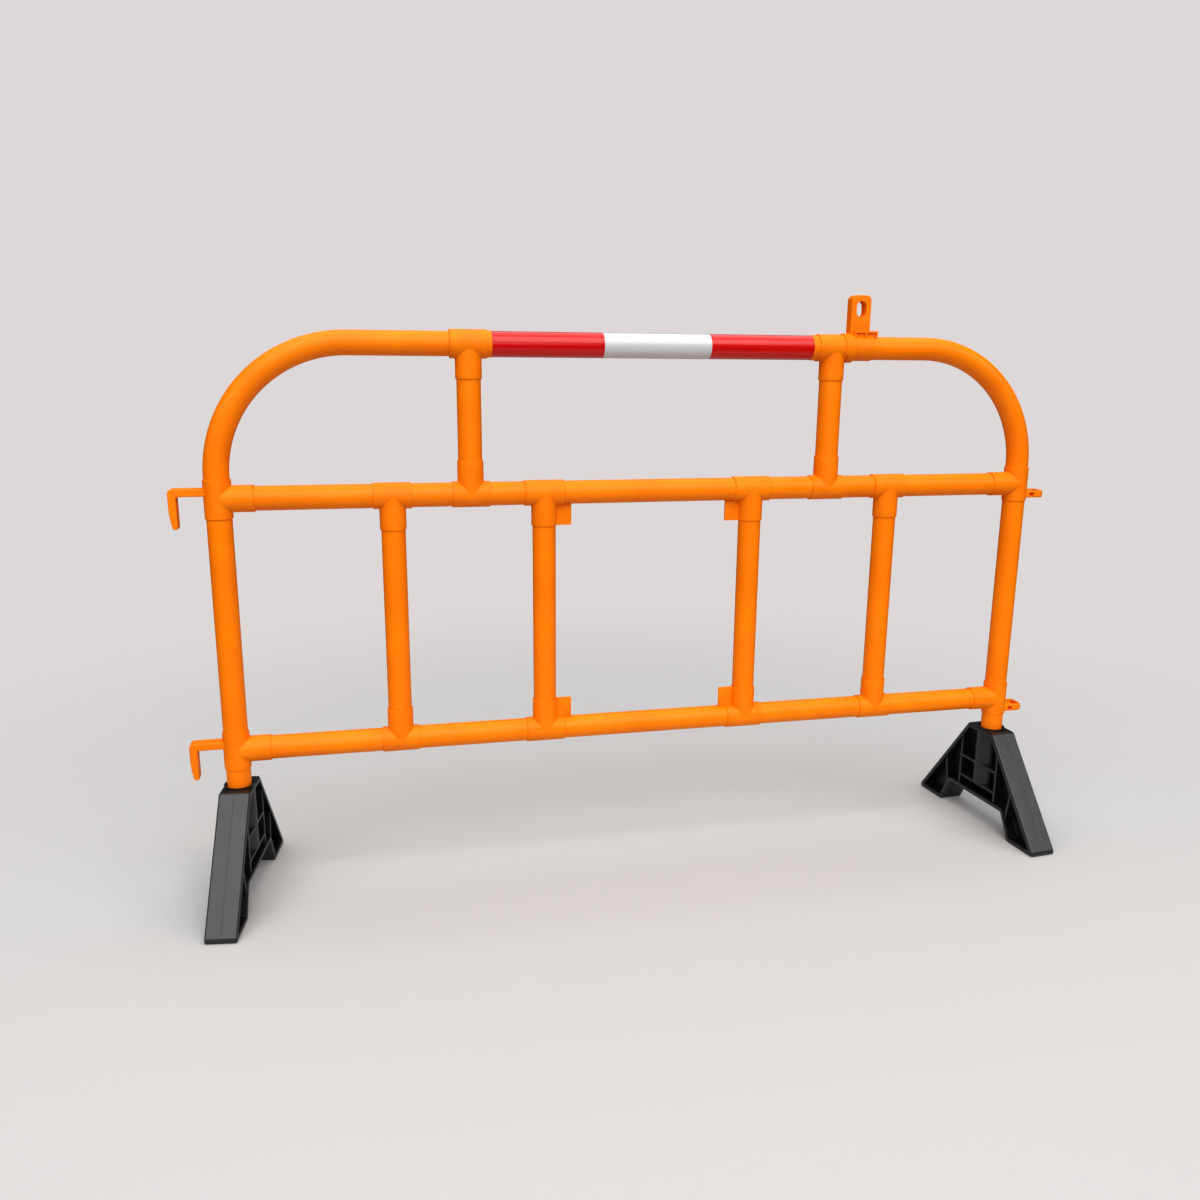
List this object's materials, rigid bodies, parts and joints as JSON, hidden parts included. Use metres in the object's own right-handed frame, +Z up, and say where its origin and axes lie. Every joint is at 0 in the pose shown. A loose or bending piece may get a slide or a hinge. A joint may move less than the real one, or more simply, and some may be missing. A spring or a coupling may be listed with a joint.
{
  "type": "traffic barrier",
  "caption": "Free-standing pedestrian barrier of plastic tube with an arched top, cross rails, upright posts, swivelling feet, linking hooks and eyes, and a slotted lamp bracket",
  "frame": {"origin": "On the floor under the middle of the overall box, which is 11 mm towards the hooks from midway between the two corner posts", "axes": "+X along the barrier from the hooks to the eyes, +Y from the front to the back, +Z up"},
  "size_m": [1.644, 0.3778, 1.074],
  "materials": {
    "orange_tube": "extruded PVC tube, satin",
    "orange_moulding": "injection moulded PVC fitting, satin",
    "red_film": "retroreflective film with a clear glossy face",
    "white_film": "retroreflective film with a clear glossy face",
    "black_moulding": "moulded recycled plastic, slightly mottled"
  },
  "bodies": {
    "frame": {"corner_post_left": "orange_tube", "corner_post_right": "orange_tube", "upper_post_left": "orange_tube", "upper_post_right": "orange_tube", "lower_post_outer_left": "orange_tube", "lower_post_inner_left": "orange_tube", "lower_post_inner_right": "orange_tube", "lower_post_outer_right": "orange_tube", "mid_rail": "orange_tube", "bottom_rail": "orange_tube", "top_rail": "orange_tube", "top_tee_left": "orange_moulding", "top_tee_right": "orange_moulding", "top_bush_left": "orange_moulding", "top_bush_right": "orange_moulding", "mid_tee_upper_left": "orange_moulding", "mid_tee_upper_right": "orange_moulding", "mid_tee_outer_left": "orange_moulding", "mid_tee_outer_right": "orange_moulding", "bottom_tee_outer_left": "orange_moulding", "bottom_tee_outer_right": "orange_moulding", "mid_tab_tee_left": "orange_moulding", "mid_tab_tee_right": "orange_moulding", "bottom_tab_tee_left": "orange_moulding", "bottom_tab_tee_right": "orange_moulding", "mid_hook_tee": "orange_moulding", "bottom_hook_tee": "orange_moulding", "mid_eye_tee": "orange_moulding", "bottom_eye_tee": "orange_moulding", "film_red_left": "red_film", "film_white": "white_film", "film_red_right": "red_film"},
    "foot_left": {"foot_left": "black_moulding"},
    "foot_right": {"foot_right": "black_moulding"},
    "lamp_bracket": {"lamp_bracket": "orange_moulding"}
  },
  "joints": [
    {"name": "foot_left_swivel", "type": "hinge", "parent": "frame", "child": "foot_left", "pos_m": [-0.744, 0, 0.1], "axis": [0, 0, 1], "continuous": true},
    {"name": "foot_right_swivel", "type": "hinge", "parent": "frame", "child": "foot_right", "pos_m": [0.766, 0, 0.1], "axis": [0, 0, 1], "continuous": true},
    {"name": "lamp_bracket_turn", "type": "hinge", "parent": "frame", "child": "lamp_bracket", "pos_m": [0.405, 0, 0.979], "axis": [1, 0, 0], "range_deg": [-20, 20]}
  ]
}
